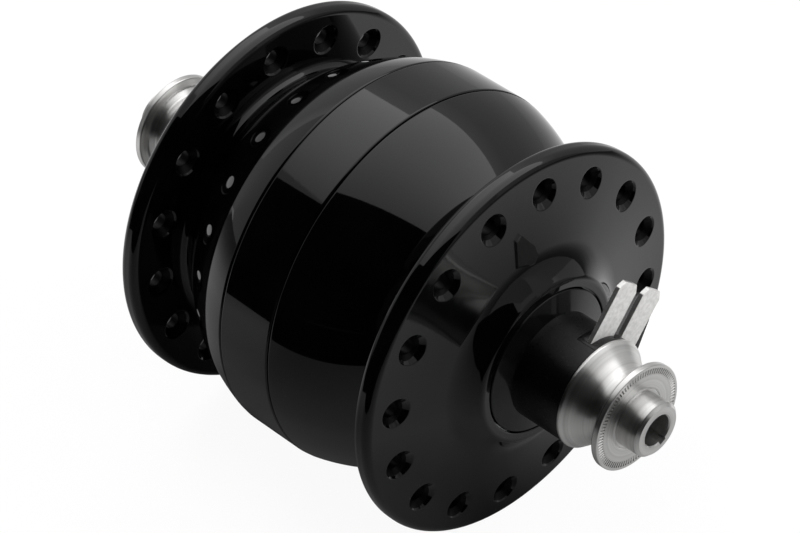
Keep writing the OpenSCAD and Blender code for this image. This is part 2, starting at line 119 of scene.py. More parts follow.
# Profile of the outer face: a slightly hollow flange that runs into the dish, within 0.7 mm of the CAD solid
FACE_R = 88.0
FACE_CENTRE_R = 38.57
DISH_START = 18.4
DISH_R = 8.0


def line(*points):
    """Flat runs through points of a profile.

    A run is a list of (point, normal), and the solid is on the left of the way along it.
    """
    runs = []
    for p, q in zip(points, points[1:]):
        length = math.hypot(q[0] - p[0], q[1] - p[1])
        if length > 1e-6:
            normal = ((q[1] - p[1]) / length, (p[0] - q[0]) / length)
            runs.append([(p, normal), (q, normal)])
    return runs


def arc(centre, radius, start, end, steps):
    """One round run between angles in degrees, convex where the angle grows and hollow where it falls."""
    sign = 1 if end > start else -1
    run = []
    for i in range(steps + 1):
        turn = math.radians(start + (end - start) * i / steps)
        c, s = math.cos(turn), math.sin(turn)
        run.append(((centre[0] + radius * c, centre[1] + radius * s), (sign * c, sign * s)))
    return [run]


def rounded(corners, closed=True):
    """Flat runs through corners (radius, place, rounding), with a round run at each rounded corner."""
    degrees_per_step = 6
    count = len(corners)
    points = [corner[:2] for corner in corners]
    ends = []
    arcs = []
    for i, corner in enumerate(corners):
        p = points[i]
        rounding = corner[2] if len(corner) > 2 else 0
        inside = closed or 0 < i < count - 1
        if not rounding or not inside:
            ends.append((p, p))
            arcs.append([])
            continue
        before = Vector(p) - Vector(points[i - 1])
        after = Vector(points[(i + 1) % count]) - Vector(p)
        before.normalize()
        after.normalize()
        turn = math.atan2(before.x * after.y - before.y * after.x, before.dot(after))
        reach = rounding * math.tan(abs(turn) / 2)
        start = Vector(p) - before * reach
        end = Vector(p) + after * reach
        side = 1 if turn > 0 else -1
        normal = Vector((before.y, -before.x))
        centre = start - normal * rounding * side
        first = math.degrees(math.atan2(normal.y * side, normal.x * side))
        steps = max(3, round(abs(math.degrees(turn)) / degrees_per_step))
        ends.append((tuple(start), tuple(end)))
        arcs.append(arc(tuple(centre), rounding, first, first + math.degrees(turn), steps))
    runs = []
    for i in range(count if closed else count - 1):
        following = (i + 1) % count
        runs += line(ends[i][1], ends[following][0])
        runs += arcs[following]
    return runs


class Builder:
    """Collects faces with their corner normals in millimetres and welds their points into one mesh."""

    def __init__(self, right_side=False):
        self.side = -1 if right_side else 1
        self.index = {}
        self.points = []
        self.faces = []
        self.normals = []

    def vertex(self, point):
        """Number of a point, which is added where it is new."""
        key = (round(point[0], 4), round(point[1], 4), round(point[2], 4))
        if key not in self.index:
            self.index[key] = len(self.points)
            self.points.append((point[0] * MM, point[1] * self.side * MM, point[2] * MM))
        return self.index[key]

    def face(self, corners, normals):
        """Adds a face of three or four corners, wound so that it looks the way its normals do."""
        first, second, third, last = corners[0], corners[1], corners[2], corners[-1]
        p = (third[0] - first[0], third[1] - first[1], third[2] - first[2])
        q = (last[0] - second[0], last[1] - second[1], last[2] - second[2])
        cross = (p[1] * q[2] - p[2] * q[1], p[2] * q[0] - p[0] * q[2], p[0] * q[1] - p[1] * q[0])
        along = sum(cross[k] * sum(n[k] for n in normals) for k in range(3))
        order = list(range(len(corners)))
        if (along < 0) != (self.side < 0):
            order.reverse()
        ids = [self.vertex(corners[k]) for k in order]
        if len(set(ids)) == len(ids):
            self.faces.append(ids)
            self.normals += [(normals[k][0], normals[k][1] * self.side, normals[k][2]) for k in order]

    def lathe(self, runs, turns):
        """Turns the runs of a profile about the axle through the given (cosine, sine) directions."""
        for run in runs:
            for (p, n), (q, m) in zip(run, run[1:]):
                for (c0, s0), (c1, s1) in zip(turns, turns[1:] + turns[:1]):
                    self.face(
                        [(p[0] * c0, p[1], p[0] * s0), (q[0] * c0, q[1], q[0] * s0),
                         (q[0] * c1, q[1], q[0] * s1), (p[0] * c1, p[1], p[0] * s1)],
                        [(n[0] * c0, n[1], n[0] * s0), (m[0] * c0, m[1], m[0] * s0),
                         (m[0] * c1, m[1], m[0] * s1), (n[0] * c1, n[1], n[0] * s1)])

    def mesh(self, name):
        mesh = bpy.data.meshes.new(name)
        mesh.from_pydata(self.points, [], self.faces)
        mesh.polygons.foreach_set("use_smooth", [True] * len(mesh.polygons))
        mesh.normals_split_custom_set([Vector(n).normalized() for n in self.normals])
        mesh.update()
        return mesh


def directions(count, phase=0.0):
    """Even (cosine, sine) directions round the axle."""
    turns = []
    for i in range(count):
        turn = math.radians(phase) + 2 * math.pi * i / count
        turns.append((math.cos(turn), math.sin(turn)))
    return turns


def piece(name, mesh, node, body):
    """Puts a mesh in place of a CAD node."""
    obj = bpy.data.objects.new(name, mesh)
    bpy.context.scene.collection.objects.link(obj)
    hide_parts(node)
    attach(obj, body)
    return obj


# Hub shells: the flange faces are built from one patch for each spoke hole, the rest is turned.
SECTOR_STEPS = 16
SIDE_STEPS = 8
PATCH_SHARES = (0, 0.15, 0.3, 0.65, 1)
PATCH_INNER_R = 24.2
PATCH_OUTER_R = FLANGE_R - RIM_ROUND
HOLE_EDGE_R = COUNTERSINK_R + COUNTERSINK_ROUND * math.tan(math.radians(22.5))


def face_slope(r):
    """Slope of a flange's outer face in radians."""
    return math.asin((FACE_CENTRE_R - r) / FACE_R)


def face_place(r):
    """Place of a flange's outer face."""
    return FLANGE_OUTER + FACE_R * (math.cos(face_slope(SPOKE_CIRCLE_R)) - math.cos(face_slope(r)))


def lean(point, normal):
    """Moves the outer half of a flange onto its hollow face."""
    x, place, z = point
    if place < (FLANGE_INNER + FLANGE_OUTER) / 2:
        return point, normal
    r = math.hypot(x, z)
    tilt = math.tan(face_slope(r)) * normal[1] / r
    moved = (x, place + face_place(r) - FLANGE_OUTER, z)
    return moved, (normal[0] + tilt * x, normal[1], normal[2] + tilt * z)


def hole_runs():
    """Profile of a spoke hole about its own axis, from the outer face to the inner one."""
    sink = COUNTERSINK_R - SPOKE_HOLE_R
    corners = [
        (HOLE_EDGE_R, FLANGE_OUTER),
        (COUNTERSINK_R, FLANGE_OUTER, COUNTERSINK_ROUND),
        (SPOKE_HOLE_R, FLANGE_OUTER - sink, SMALL_ROUND),
        (SPOKE_HOLE_R, FLANGE_INNER + sink, SMALL_ROUND),
        (COUNTERSINK_R, FLANGE_INNER, COUNTERSINK_ROUND),
        (HOLE_EDGE_R, FLANGE_INNER),
    ]
    return rounded(corners, closed=False)


def sector_border(turns, sector):
    """Points (x, z) round one sector of a flange face, in directions that the turned runs share."""
    first = sector * SECTOR_STEPS
    last = first + SECTOR_STEPS
    steps = [(PATCH_INNER_R, i) for i in range(first, last)]
    reach = PATCH_OUTER_R - PATCH_INNER_R
    steps += [(PATCH_INNER_R + reach * i / SIDE_STEPS, last) for i in range(SIDE_STEPS)]
    steps += [(PATCH_OUTER_R, i) for i in range(last, first, -1)]
    steps += [(PATCH_INNER_R + reach * i / SIDE_STEPS, first) for i in range(SIDE_STEPS, 0, -1)]
    border = []
    for r, i in steps:
        c, s = turns[i % len(turns)]
        border.append((r * c, r * s))
    return border


def flange_sector(builder, turns, sector):
    """Both faces of a flange round one spoke hole, and the hole's wall."""
    c, s = turns[(sector * SECTOR_STEPS + SECTOR_STEPS // 2) % len(turns)]
    middle = (SPOKE_CIRCLE_R * c, SPOKE_CIRCLE_R * s)
    border = sector_border(turns, sector)
    rays = []
    for x, z in border:
        away = math.hypot(x - middle[0], z - middle[1])
        rays.append(((x - middle[0]) / away, (z - middle[1]) / away))
    count = len(border)

    def on_face(outer, share, k):
        """Point and normal of a flange face, at a share of the way from the hole's edge to the border."""
        ux, uz = rays[k % count]
        bx, bz = border[k % count]
        x = middle[0] + ux * HOLE_EDGE_R
        z = middle[1] + uz * HOLE_EDGE_R
        x = bx if share == 1 else x + (bx - x) * share
        z = bz if share == 1 else z + (bz - z) * share
        if outer:
            return lean((x, FLANGE_OUTER, z), (0, 1, 0))
        return (x, FLANGE_INNER, z), (0, -1, 0)

    for outer in (True, False):
        for share, following in zip(PATCH_SHARES, PATCH_SHARES[1:]):
            for k in range(count):
                corners = [on_face(outer, share, k), on_face(outer, following, k),
                           on_face(outer, following, k + 1), on_face(outer, share, k + 1)]
                builder.face([corner[0] for corner in corners], [corner[1] for corner in corners])

    def on_wall(point, normal, k):
        """Point and normal of the hole's wall."""
        ux, uz = rays[k % count]
        place = (middle[0] + ux * point[0], point[1], middle[1] + uz * point[0])
        return lean(place, (normal[0] * ux, normal[1], normal[0] * uz))

    for run in hole_runs():
        for (p, n), (q, m) in zip(run, run[1:]):
            for k in range(count):
                corners = [on_wall(p, n, k), on_wall(q, m, k), on_wall(q, m, k + 1), on_wall(p, n, k + 1)]
                builder.face([corner[0] for corner in corners], [corner[1] for corner in corners])


def shell_runs():
    """Profile of an end shell without the patches of its flange faces."""
    dome = (BAND_R - DOME_R * math.cos(DOME_SLOPE), BAND_HALF - DOME_R * math.sin(DOME_SLOPE))

    def dome_turn(place, radius):
        """Angle in degrees at which a circle about the dome's centre reaches a place along the axle."""
        return math.degrees(math.asin((place - dome[1]) / radius))

    def on_dome(turn, radius):
        angle = math.radians(turn)
        return dome[0] + radius * math.cos(angle), dome[1] + radius * math.sin(angle)

    # Outside, from the seam over the dome to the flange's inner face
    seam_turn = dome_turn(SEAM + SEAM_ROUND, DOME_R - SEAM_ROUND)
    seam = on_dome(seam_turn, DOME_R - SEAM_ROUND)
    root_turn = dome_turn(FLANGE_INNER - ROOT_FILLET, DOME_R + ROOT_FILLET)
    root = on_dome(root_turn, DOME_R + ROOT_FILLET)
    runs = arc(seam, SEAM_ROUND, -90, seam_turn, 8)
    runs += arc(dome, DOME_R, seam_turn, root_turn, 56)
    runs += arc(root, ROOT_FILLET, 180 + root_turn, 90, 24)
    runs += line((root[0], FLANGE_INNER), (PATCH_INNER_R, FLANGE_INNER))

    # Round the flange's rim to its outer face
    runs += arc((PATCH_OUTER_R, FLANGE_INNER + RIM_ROUND), RIM_ROUND, -90, 0, 10)
    rim_slope = face_slope(PATCH_OUTER_R)
    rim_place = face_place(PATCH_OUTER_R) - RIM_ROUND / math.cos(rim_slope)
    rim = arc((PATCH_OUTER_R, rim_place), RIM_ROUND, 0, 90 - math.degrees(rim_slope), 10)
    runs += line((FLANGE_R, FLANGE_INNER + RIM_ROUND), (FLANGE_R, rim_place))
    runs += rim
    runs += line(rim[0][-1][0], (PATCH_OUTER_R, face_place(PATCH_OUTER_R)))

    # Down the outer face into the dish and up to the boss
    face = (FACE_CENTRE_R, face_place(FACE_CENTRE_R) + FACE_R)
    face_turn = -90 - math.degrees(face_slope(PATCH_INNER_R))
    dish_slope = face_slope(DISH_START)
    dish_turn = -90 - math.degrees(dish_slope)
    dish_r = DISH_START + DISH_R * math.sin(dish_slope)
    dish_place = face_place(DISH_START) + DISH_R * math.cos(dish_slope)
    boss_place = BOSS_FACE - BOSS_ROUND
    boss_r = dish_r - math.sqrt((DISH_R + BOSS_ROUND) ** 2 - (dish_place - boss_place) ** 2)
    boss_turn = math.degrees(math.atan2(dish_place - boss_place, dish_r - boss_r))
    runs += arc(face, FACE_R, face_turn, dish_turn, 12)
    runs += arc((dish_r, dish_place), DISH_R, dish_turn, boss_turn - 180, 28)
    runs += arc((boss_r, boss_place), BOSS_ROUND, boss_turn, 90, 10)

    # Inside, from the boss past the bearing's seat and the hollow dome to the spigot under the band
    inner_r = DOME_R - DOME_WALL
    recess_end = BEARING_INNER - DOME_WALL
    recess = arc(dome, inner_r, dome_turn(recess_end, inner_r), dome_turn(CAVITY_HALF, inner_r), 12)
    seat = [
        (boss_r, BOSS_FACE),
        (BOSS_BORE_R, BOSS_FACE, SMALL_ROUND),
        (BOSS_BORE_R, BEARING_OUTER),
        (BEARING_R, BEARING_OUTER),
        (BEARING_R, SEAT_END),
        (NECK_BORE_R, SEAT_END),
        (NECK_BORE_R, recess_end),
        recess[0][0][0],
    ]
    spigot = [
        recess[0][-1][0],
        (CAVITY_R, CAVITY_HALF),
        (CAVITY_R, SPIGOT_SPLIT),
        (BAND_INNER_R, SPIGOT_SPLIT),
        (BAND_INNER_R, O_RING_GROOVE_START),
        (O_RING_GROOVE_R, O_RING_GROOVE_START),
        (O_RING_GROOVE_R, O_RING_GROOVE_END),
        (BAND_INNER_R, O_RING_GROOVE_END),
        (BAND_INNER_R, SEAM),
        (seam[0], SEAM),
    ]
    runs += rounded(seat, closed=False)
    runs += recess
    runs += rounded(spigot, closed=False)
    return runs


def hub_shell(side):
    """An end shell with its flange."""
    builder = Builder(side == "right")
    turns = directions(SPOKE_HOLES * SECTOR_STEPS, SPOKE_PHASE[side] - 180 / SPOKE_HOLES)
    builder.lathe(shell_runs(), turns)
    for sector in range(SPOKE_HOLES):
        flange_sector(builder, turns, sector)
    return builder.mesh(f"{side}_hub_shell_fine")


def centre_band():
    """The band round the drum's middle, with rounded seam edges."""
    corners = [
        (BAND_INNER_R, -BAND_HALF),
        (BAND_R, -BAND_HALF, SEAM_ROUND),
        (BAND_R, BAND_HALF, SEAM_ROUND),
        (BAND_INNER_R, BAND_HALF),
    ]
    builder = Builder()
    builder.lathe(rounded(corners), directions(256))
    return builder.mesh("centre_band_fine")


def dust_cap(side):
    """The still disc inside the boss."""
    rim_r = BOSS_BORE_R - CAP_GAP
    corners = [
        (rim_r, CAP_BACK),
        (rim_r, BOSS_FACE, EDGE_ROUND),
        (SLEEVE_R, CAP_TOP),
        (SLEEVE_BORE_R, CAP_TOP),
        (SLEEVE_BORE_R, BEARING_OUTER),
        (INNER_RING_R, BEARING_OUTER),
        (INNER_RING_R, CAP_BACK),
    ]
    builder = Builder(side == "right")
    builder.lathe(rounded(corners), directions(192))
    return builder.mesh(f"{side}_dust_cap_fine")


def sleeve(side):
    """A plain sleeve between dust cap and lock nut."""
    corners = [
        (SLEEVE_R, CAP_TOP),
        (SLEEVE_R, NUT_INNER, EDGE_ROUND),
        (SLEEVE_BORE_R, NUT_INNER),
        (SLEEVE_BORE_R, CAP_TOP),
    ]
    builder = Builder(side == "right")
    builder.lathe(rounded(corners), directions(192))
    return builder.mesh(f"{side}_sleeve_fine")


def winding():
    """The coil: its outer layer shows the turns of wire side by side."""
    inner_r = 12.0
    outer_r = 19.7
    half = 6.0
    wires = 24
    wire_r = half / wires
    runs = line((outer_r - wire_r, half), (inner_r, half), (inner_r, -half), (outer_r - wire_r, -half))
    for i in range(wires):
        runs += arc((outer_r - wire_r, -half + (2 * i + 1) * wire_r), wire_r, -90, 90, 6)
    builder = Builder()
    builder.lathe(runs, directions(144))
    return builder.mesh("coil_winding_turns")


def nut_runs():
    """Profile of a lock nut without its serrated ring: disc, waist, flared back and thread."""
    disc_root_r = 7.1
    waist_outer = 47.9
    waist_inner = 46.256
    flare_r = 7.4
    flare_place = 44.478
    flare_end = 42.7
    corners = [
        (SERRATION_OUTER_R, NUT_OUTER),
        (NUT_DISC_R, NUT_OUTER, 0.15),
        (NUT_DISC_R, NUT_DISC_BACK, EDGE_ROUND),
        (disc_root_r, NUT_DISC_BACK, 0.6),
        (NUT_WAIST_R, waist_outer, 0.6),
        (NUT_WAIST_R, waist_inner, 3.0),
        (flare_r, flare_place, 6.0),
        (NUT_R, flare_end, 0.3),
        (NUT_R, NUT_INNER, SMALL_ROUND),
        (THREAD_R, NUT_INNER),
        (THREAD_R, NUT_OUTER, SMALL_ROUND),
        (SERRATION_INNER_R, NUT_OUTER),
    ]
    runs = []
    for run in rounded(corners, closed=False):
        # The solid is on the right of the way along these corners.
        runs.append([(p, (-n[0], -n[1])) for p, n in run])
    return runs


def lock_nut(side):
    """Spool-shaped nut with radial V grooves in its serrated ring."""
    groove_turn = 1.05
    groove_half = math.radians(groove_turn) * (SERRATION_INNER_R + SERRATION_OUTER_R) / 2
    angles = []
    for tooth in range(SERRATIONS):
        middle = 360 / SERRATIONS * tooth
        angles += [middle - 180 / SERRATIONS, middle - groove_turn, middle, middle + groove_turn]
    turns = [(math.cos(math.radians(t)), math.sin(math.radians(t))) for t in angles]
    builder = Builder(side == "right")
    builder.lathe(nut_runs(), turns)

    def ring_edge(k, place):
        """Inner and outer point of the ring in one direction."""
        c, s = turns[k % len(turns)]
        return [(r * c, place, r * s) for r in (SERRATION_INNER_R, SERRATION_OUTER_R)]

    up = (0, 1, 0)
    slope = math.hypot(SERRATION_DEPTH, groove_half)
    for tooth in range(SERRATIONS):
        first = 4 * tooth
        c, s = turns[first + 2]
        low = ring_edge(first + 2, NUT_OUTER - SERRATION_DEPTH)
        edges = {k: ring_edge(k, NUT_OUTER) for k in range(first, first + 5)}
        for k in (first, first + 3):
            builder.face([edges[k][0], edges[k][1], edges[k + 1][1], edges[k + 1][0]], [up] * 4)
        for k, way in ((first + 1, 1), (first + 3, -1)):
            tilt = way * SERRATION_DEPTH / slope
            wall = (-s * tilt, groove_half / slope, c * tilt)
            builder.face([edges[k][0], edges[k][1], low[1], low[0]], [wall] * 4)
        for end, way in ((0, 1), (1, -1)):
            stop = (c * way, 0, s * way)
            for k in (first + 1, first + 2):
                builder.face([edges[k][end], edges[k + 1][end], low[end]], [stop] * 3)
    return builder.mesh(f"{side}_lock_nut_fine")


BOX_FACES = [(0, 1, 3, 2), (4, 6, 7, 5), (0, 4, 5, 1), (2, 3, 7, 6), (0, 2, 6, 4), (1, 5, 7, 3)]


def cut_mesh(mesh, boxes):
    """Takes boxes (centre, half sizes, turn about the axle) out of a mesh and smooths it again."""
    scene = bpy.context.scene
    body = bpy.data.objects.new("cut_body", mesh)
    scene.collection.objects.link(body)
    cutters = []
    for centre, half, turn in boxes:
        spin = Matrix.Rotation(math.radians(-turn), 4, "Y")
        points = []
        for corner in [(sx, sy, sz) for sx in (-1, 1) for sy in (-1, 1) for sz in (-1, 1)]:
            points.append(spin @ Vector([(centre[k] + half[k] * corner[k]) * MM for k in range(3)]))
        cutter_mesh = bpy.data.meshes.new("cutter")
        cutter_mesh.from_pydata(points, [], BOX_FACES)
        cutter = bpy.data.objects.new("cutter", cutter_mesh)
        scene.collection.objects.link(cutter)
        cutters.append(cutter)
        modifier = body.modifiers.new("cut", "BOOLEAN")
        modifier.operation = "DIFFERENCE"
        modifier.solver = "EXACT"
        modifier.object = cutter
    graph = bpy.context.evaluated_depsgraph_get()
    result = bpy.data.meshes.new_from_object(body.evaluated_get(graph))
    result.name = mesh.name
    for obj in [body] + cutters:
        bpy.data.objects.remove(obj)
    if result.has_custom_normals:
        result.attributes.remove(result.attributes["custom_normal"])
    result.polygons.foreach_set("use_smooth", [True] * len(result.polygons))
    result.set_sharp_from_angle(angle=math.radians(30))
    return result


def axle():
    """Hollow axle with the leads' groove and the notch in its right-hand mouth."""
    half = [
        (AXLE_CORE_R, BEARING_INNER),
        (SLEEVE_BORE_R, BEARING_INNER),
        (SLEEVE_BORE_R, THREAD_START),
        (THREAD_R, THREAD_START),
        (THREAD_R, THREAD_END - SMALL_BEVEL),
        (THREAD_R - SMALL_BEVEL, THREAD_END),
        (AXLE_END_R, THREAD_END),
        (AXLE_END_R, AXLE_END - AXLE_END_BEVEL),
        (AXLE_END_R - AXLE_END_BEVEL, AXLE_END),
        (AXLE_BORE_R + SMALL_BEVEL, AXLE_END),
        (AXLE_BORE_R, AXLE_END - SMALL_BEVEL),
    ]
    collar = [
        (AXLE_CORE_R, COLLAR_START),
        (COLLAR_R, COLLAR_START),
        (COLLAR_R, COLLAR_END),
        (AXLE_CORE_R, COLLAR_END),
    ]
    right_half = [(r, -place) for r, place in reversed(half)]
    builder = Builder()
    builder.lathe(rounded(right_half + collar + half), directions(128))
    groove_floor = 4.3
    groove_middle = -27.0
    groove_half = (8.0, 13.8, 1.3)
    groove = ((groove_floor + groove_half[0], groove_middle, 0), groove_half, TERMINAL_ANGLE)
    notch_middle = 2.75 - AXLE_END
    notch_half = (1.6, 3.25, 0.6)
    notch_turn = -65
    notch = ((notch_half[0], notch_middle, 0), notch_half, notch_turn)
    return cut_mesh(builder.mesh("axle_fine"), [groove, notch])


def terminal_sleeve():
    """The right-hand sleeve, with the pocket that holds the terminal block."""
    pocket_floor = 2.95
    pocket_middle = -40.6
    pocket_half = (SLEEVE_R, 2.05, 6.28)
    pocket = ((pocket_floor + pocket_half[0], pocket_middle, 0), pocket_half, TERMINAL_ANGLE)
    return cut_mesh(sleeve("right"), [pocket])


shells = [
    piece("left_hub_shell_fine", hub_shell("left"), "left_hub_shell", "hub_shell"),
    piece("right_hub_shell_fine", hub_shell("right"), "right_hub_shell", "hub_shell"),
    piece("centre_band_fine", centre_band(), "centre_band", "hub_shell"),
]
caps = [
    piece("left_dust_cap_fine", dust_cap("left"), "left_dust_cap", "axle_set"),
    piece("right_dust_cap_fine", dust_cap("right"), "right_dust_cap", "axle_set"),
]
sleeves = [
    piece("left_spacer_sleeve_fine", sleeve("left"), "left_spacer_sleeve", "axle_set"),
    piece("terminal_sleeve_fine", terminal_sleeve(), "terminal_sleeve", "axle_set"),
]
steel = [
    piece("left_lock_nut_fine", lock_nut("left"), "left_lock_nut", "axle_set"),
    piece("right_lock_nut_fine", lock_nut("right"), "right_lock_nut", "axle_set"),
    piece("axle_fine", axle(), "axle", "axle_set"),
]
coil = [piece("coil_winding_turns", winding(), "coil_winding", "axle_set")]


def soften(name, width):
    """Rounds a CAD piece's sharp edges with modifiers."""
    obj = frame["nodes"][name]
    weld = obj.modifiers.new("weld", "WELD")
    weld.merge_threshold = 0.000002
    bevel = obj.modifiers.new("bevel", "BEVEL")
    bevel.width = width * MM
    bevel.segments = 2
    bevel.limit_method = "ANGLE"
    bevel.angle_limit = math.radians(35)
    bevel.harden_normals = True


soften("upper_spade_terminal", 0.12)
soften("lower_spade_terminal", 0.12)
soften("terminal_block", 0.08)


class Finish:
    """A material with one Principled shader, and the few nodes that vary it.

    Scales of textures are in features to the metre, and depths of bumps in metres.
    """

    def __init__(self, name, **sockets):
        self.material = bpy.data.materials.new(name)
        self.material.use_nodes = True
        self.tree = self.material.node_tree
        self.shader = self.tree.nodes["Principled BSDF"]
        for socket, value in sockets.items():
            self.shader.inputs[socket].default_value = value
        coordinates = self.tree.nodes.new("ShaderNodeTexCoord")
        self.place = coordinates.outputs["Object"]
        self.facing = coordinates.outputs["Normal"]

    def link(self, source, target):
        self.tree.links.new(source, target)

    def feed(self, target, value):
        """Sets a socket to a number, or links it to another socket."""
        if isinstance(value, float):
            target.default_value = value
        else:
            self.link(value, target)

    def compute(self, operation, *values):
        """Result of a math node on numbers or sockets."""
        node = self.tree.nodes.new("ShaderNodeMath")
        node.operation = operation
        for target, value in zip(node.inputs, values):
            self.feed(target, value)
        return node.outputs[0]

    def split(self, vector):
        """The X, Y and Z sockets of a vector, by name."""
        node = self.tree.nodes.new("ShaderNodeSeparateXYZ")
        self.link(vector, node.inputs[0])
        return node.outputs

    def turned_place(self):
        """Texture place that depends on radius and place along the axle only, for turning marks."""
        parts = self.split(self.place)
        flat = self.tree.nodes.new("ShaderNodeCombineXYZ")
        self.link(parts["X"], flat.inputs["X"])
        self.link(parts["Z"], flat.inputs["Z"])
        radius = self.tree.nodes.new("ShaderNodeVectorMath")
        radius.operation = "LENGTH"
        self.link(flat.outputs[0], radius.inputs[0])
        both = self.tree.nodes.new("ShaderNodeCombineXYZ")
        self.link(radius.outputs["Value"], both.inputs["X"])
        self.link(parts["Y"], both.inputs["Y"])
        return both.outputs[0]

    def noise(self, scale, detail=2.0, place=None):
        node = self.tree.nodes.new("ShaderNodeTexNoise")
        node.inputs["Scale"].default_value = scale
        node.inputs["Detail"].default_value = detail
        self.link(place or self.place, node.inputs["Vector"])
        return node.outputs["Fac"]

    def cells(self, scale):
        node = self.tree.nodes.new("ShaderNodeTexVoronoi")
        node.inputs["Scale"].default_value = scale
        self.link(self.place, node.inputs["Vector"])
        return node.outputs["Distance"]

    def between(self, source, low, high):
        """1 where source lies between two values, else 0."""
        above = self.compute("GREATER_THAN", source, low)
        below = self.compute("LESS_THAN", source, high)
        return self.compute("MULTIPLY", above, below)

    def mix(self, socket, share, first, second):
        """Sets a socket to the first value where share is 0 and to the second where it is 1."""
        node = self.tree.nodes.new("ShaderNodeMix")
        self.link(share, node.inputs["Factor"])
        self.feed(node.inputs["A"], first)
        self.feed(node.inputs["B"], second)
        self.link(node.outputs["Result"], self.shader.inputs[socket])

    def ramp(self, source, low, high, dark, bright):
        """Maps source from low to high onto two greys or colours."""
        node = self.tree.nodes.new("ShaderNodeValToRGB")
        node.color_ramp.elements[0].position = low
        node.color_ramp.elements[1].position = high
        for element, value in zip(node.color_ramp.elements, (dark, bright)):
            element.color = (value, value, value, 1) if isinstance(value, float) else (*value, 1)
        self.link(source, node.inputs["Fac"])
        return node.outputs["Color"]

    def vary(self, socket, source, low, high, dark, bright):
        self.link(self.ramp(source, low, high, dark, bright), self.shader.inputs[socket])

    def bump(self, *layers):
        """Stacks bumps, each from a height source with a depth."""
        normal = None
        for source, depth in layers:
            node = self.tree.nodes.new("ShaderNodeBump")
            node.inputs["Strength"].default_value = 1
            node.inputs["Distance"].default_value = depth
            self.link(source, node.inputs["Height"])
            if normal:
                self.link(normal, node.inputs["Normal"])
            normal = node.outputs["Normal"]
        self.link(normal, self.shader.inputs["Normal"])

    def turned(self, amount):
        """Stretches highlights across the turning marks."""
        tangent = self.tree.nodes.new("ShaderNodeTangent")
        tangent.direction_type = "RADIAL"
        tangent.axis = "Y"
        self.link(tangent.outputs[0], self.shader.inputs["Tangent"])
        self.shader.inputs["Anisotropic"].default_value = amount
        self.shader.inputs["Anisotropic Rotation"].default_value = 0.25


def gloss_black():
    """Gloss black, rougher on the drilled walls of the spoke holes, with painted shade there from a lowered
    specular level.
    """
    holes_inner_r = 22.0 * MM
    holes_outer_r = 30.1 * MM
    walls_start = (FLANGE_INNER + 0.3) * MM
    walls_end = (FLANGE_OUTER - 0.5) * MM
    finish = Finish("gloss_black", IOR=1.5)
    finish.vary("Base Color", finish.noise(160), 0.35, 0.7,
                (0.0004, 0.0004, 0.0005), (0.0008, 0.0008, 0.0009))
    parts = finish.split(finish.turned_place())
    in_circle = finish.between(parts["X"], holes_inner_r, holes_outer_r)
    in_flange = finish.between(finish.compute("ABSOLUTE", parts["Y"]), walls_start, walls_end)
    drilled_and_shaded = finish.compute("MULTIPLY", in_circle, in_flange)
    gloss = finish.ramp(finish.noise(900, 4), 0.35, 0.75, 0.03, 0.055)
    finish.mix("Roughness", drilled_and_shaded, gloss, 0.4)
    # Painted shade: the lowered specular level keeps the spoke holes' walls dark.
    finish.mix("Specular IOR Level", drilled_and_shaded, 0.5, 0.12)
    finish.bump((finish.noise(1300, 1), 0.0000006))
    return finish.material


def gloss_black_plastic():
    finish = Finish("gloss_black_plastic", IOR=1.38)
    finish.vary("Base Color", finish.noise(300), 0.35, 0.7,
                (0.0015, 0.0015, 0.0016), (0.003, 0.003, 0.0032))
    finish.vary("Roughness", finish.noise(1500, 4), 0.35, 0.75, 0.07, 0.13)
    marks = finish.noise(9000, 2, finish.turned_place())
    finish.bump((marks, 0.0000008), (finish.noise(1500, 1), 0.000001))
    return finish.material


def satin_black():
    finish = Finish("satin_black", IOR=1.4)
    finish.vary("Base Color", finish.cells(1500), 0.03, 0.09,
                (0.02, 0.02, 0.021), (0.0008, 0.0008, 0.0009))
    finish.vary("Roughness", finish.noise(2500, 4), 0.3, 0.75, 0.26, 0.36)
    marks = finish.noise(7000, 2, finish.turned_place())
    finish.bump((finish.noise(9000, 3), 0.000006), (marks, 0.000004))
    return finish.material


def black_rubber():
    finish = Finish("black_rubber", IOR=1.5)
    finish.vary("Base Color", finish.noise(900), 0.3, 0.7, (0.008, 0.008, 0.008), (0.016, 0.016, 0.016))
    finish.vary("Roughness", finish.noise(2500, 4), 0.3, 0.7, 0.5, 0.7)
    finish.bump((finish.noise(6000, 3), 0.000008))
    return finish.material


def metal(name, dark, bright, rough, marks, mark_depth, grain_depth, stretch):
    """Bare metal: turning streaks vary its tone, turning marks and grain are finer.

    Stretch draws highlights out across the marks, where it isn't 0.
    """
    finish = Finish(name, Metallic=1.0)
    turned = finish.turned_place()
    lines = finish.noise(marks, 3, turned)
    streaks = finish.noise(1900, 4, turned)
    finish.vary("Base Color", streaks, 0.3, 0.7, dark, bright)
    finish.vary("Roughness", lines, 0.25, 0.75, *rough)
    finish.bump((lines, mark_depth), (finish.noise(5000, 3), grain_depth))
    if stretch:
        finish.turned(stretch)
    return finish.material


def tinned_metal():
    """Matt tin on the blades' broad faces, which look along the axle, and bare cut metal on their edges."""
    finish = Finish("tinned_metal")
    blotches = finish.noise(1400, 5)
    finish.vary("Base Color", blotches, 0.35, 0.68, (0.56, 0.555, 0.545), (0.72, 0.715, 0.705))
    along = finish.compute("ABSOLUTE", finish.split(finish.facing)["Y"])
    broad = finish.between(along, 0.6, 1.1)
    finish.mix("Metallic", broad, 0.94, 0.3)
    finish.mix("Roughness", broad, 0.3, finish.ramp(finish.noise(2600, 4), 0.3, 0.7, 0.42, 0.62))
    finish.bump((finish.noise(3500, 4), 0.000012), (blotches, 0.00001))
    return finish.material


def plain_coat(name, dark, bright, rough, grain):
    """Moulded or insulated surfaces inside the hub."""
    finish = Finish(name, IOR=1.5)
    finish.vary("Base Color", finish.noise(500, 3), 0.3, 0.7, dark, bright)
    finish.vary("Roughness", finish.noise(1800, 4), 0.3, 0.7, *rough)
    finish.bump((finish.noise(4500, 3), grain))
    return finish.material


